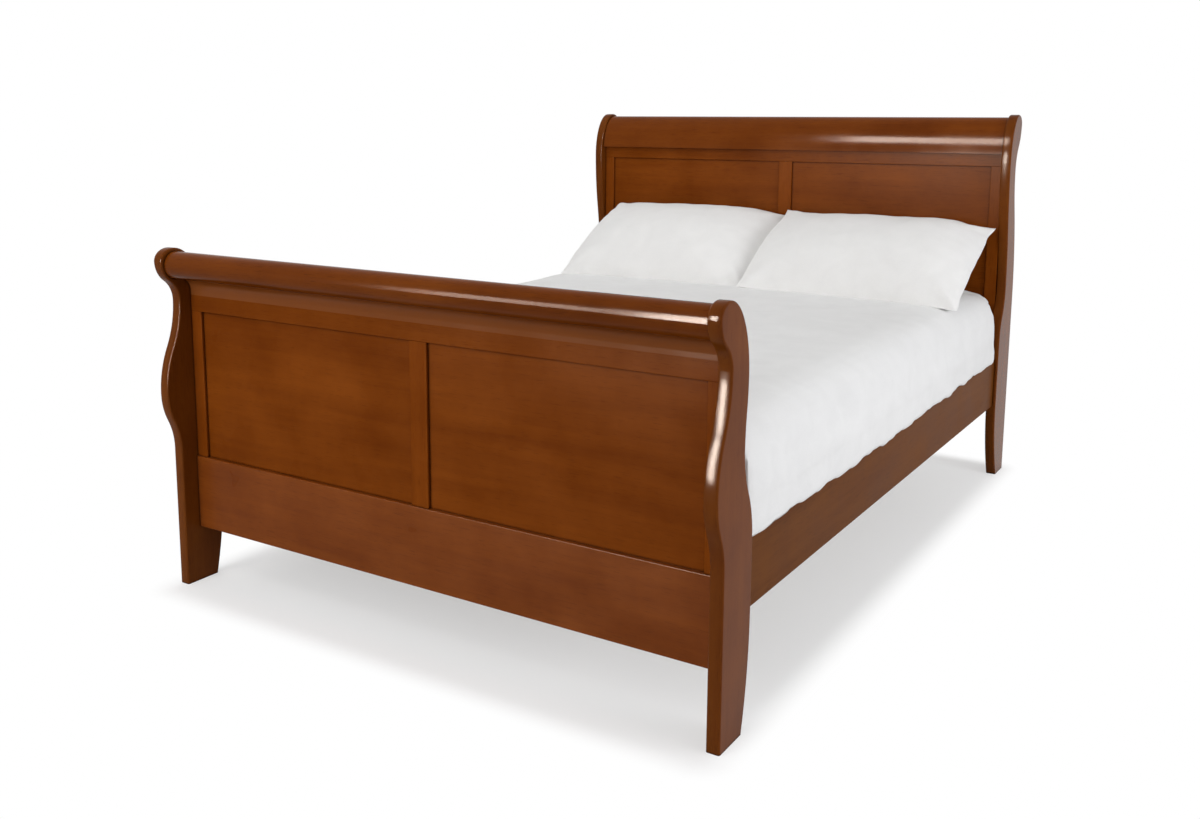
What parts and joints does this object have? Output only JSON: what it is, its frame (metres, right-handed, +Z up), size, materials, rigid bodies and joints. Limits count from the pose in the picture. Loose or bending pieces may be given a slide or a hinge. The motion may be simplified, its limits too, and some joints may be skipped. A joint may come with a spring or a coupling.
{
  "type": "sleigh bed",
  "caption": "Wooden sleigh bed with scrolled posts, rolled crest rails and framed panels, a slatted base on a centre beam, and a dressed mattress with pillows.",
  "frame": {"origin": "on the floor under the middle of the bed's outer box", "axes": "+X right seen from the foot, +Y from the foot to the head, +Z up"},
  "size_m": [1.45, 2.146, 1.124],
  "materials": {
    "stained_wood": "satin lacquer",
    "bare_timber": "planed",
    "zinc_steel": "zinc plated",
    "dark_plastic": "matte",
    "mattress_ticking": "woven",
    "quilt_cotton": "woven",
    "pillow_cotton": "woven"
  },
  "bodies": {
    "frame": {"beam_bracket_foot": "zinc_steel", "beam_bracket_head": "zinc_steel", "bracket_screws": "zinc_steel", "centre_beam": "bare_timber", "centre_leg_foot": "bare_timber", "centre_leg_head": "bare_timber", "foot_crest_dowels": "bare_timber", "foot_crest_rail": "stained_wood", "foot_lower_rail": "stained_wood", "foot_mullion": "stained_wood", "foot_panel_left": "stained_wood", "foot_panel_right": "stained_wood", "foot_post_left": "stained_wood", "foot_post_right": "stained_wood", "foot_stile_left": "stained_wood", "foot_stile_right": "stained_wood", "foot_top_rail": "stained_wood", "head_crest_dowels": "bare_timber", "head_crest_rail": "stained_wood", "head_lower_rail": "stained_wood", "head_mullion": "stained_wood", "head_panel_left": "stained_wood", "head_panel_right": "stained_wood", "head_post_left": "stained_wood", "head_post_right": "stained_wood", "head_stile_left": "stained_wood", "head_stile_right": "stained_wood", "head_top_rail": "stained_wood", "hook_plate_screws": "zinc_steel", "ledger_screws": "zinc_steel", "leg_insert_foot": "zinc_steel", "leg_insert_head": "zinc_steel", "leg_studs": "zinc_steel", "post_slot_plates": "zinc_steel", "rail_hook_plates": "zinc_steel", "side_rail_left": "stained_wood", "side_rail_right": "stained_wood", "slat_01": "bare_timber", "slat_02": "bare_timber", "slat_03": "bare_timber", "slat_04": "bare_timber", "slat_05": "bare_timber", "slat_06": "bare_timber", "slat_07": "bare_timber", "slat_08": "bare_timber", "slat_09": "bare_timber", "slat_10": "bare_timber", "slat_11": "bare_timber", "slat_12": "bare_timber", "slat_13": "bare_timber", "slat_ledger_left": "bare_timber", "slat_ledger_right": "bare_timber", "slat_screws": "zinc_steel"},
    "mattress": {"mattress": "mattress_ticking"},
    "quilt": {"quilt": "quilt_cotton"},
    "pillow_left": {"pillow_left": "pillow_cotton"},
    "pillow_right": {"pillow_right": "pillow_cotton"},
    "levelling_foot_foot": {"levelling_foot_foot": "dark_plastic"},
    "levelling_foot_head": {"levelling_foot_head": "dark_plastic"}
  },
  "joints": [
    {"name": "mattress_lift", "type": "slide", "parent": "frame", "child": "mattress", "axis": [0, 0, 1], "range_m": [0, 0.185]},
    {"name": "quilt_lift", "type": "slide", "parent": "mattress", "child": "quilt", "axis": [0, 0, 1], "range_m": [0, 0.18]},
    {"name": "pillow_left_lift", "type": "slide", "parent": "quilt", "child": "pillow_left", "axis": [0, -0.6, 0.8], "range_m": [0, 0.3]},
    {"name": "pillow_right_lift", "type": "slide", "parent": "quilt", "child": "pillow_right", "axis": [0, -0.6, 0.8], "range_m": [0, 0.3]},
    {"name": "levelling_foot_foot_screw", "type": "slide", "parent": "frame", "child": "levelling_foot_foot", "axis": [0, 0, 1], "range_m": [-0.008, 0.012]},
    {"name": "levelling_foot_head_screw", "type": "slide", "parent": "frame", "child": "levelling_foot_head", "axis": [0, 0, 1], "range_m": [-0.008, 0.012]}
  ]
}
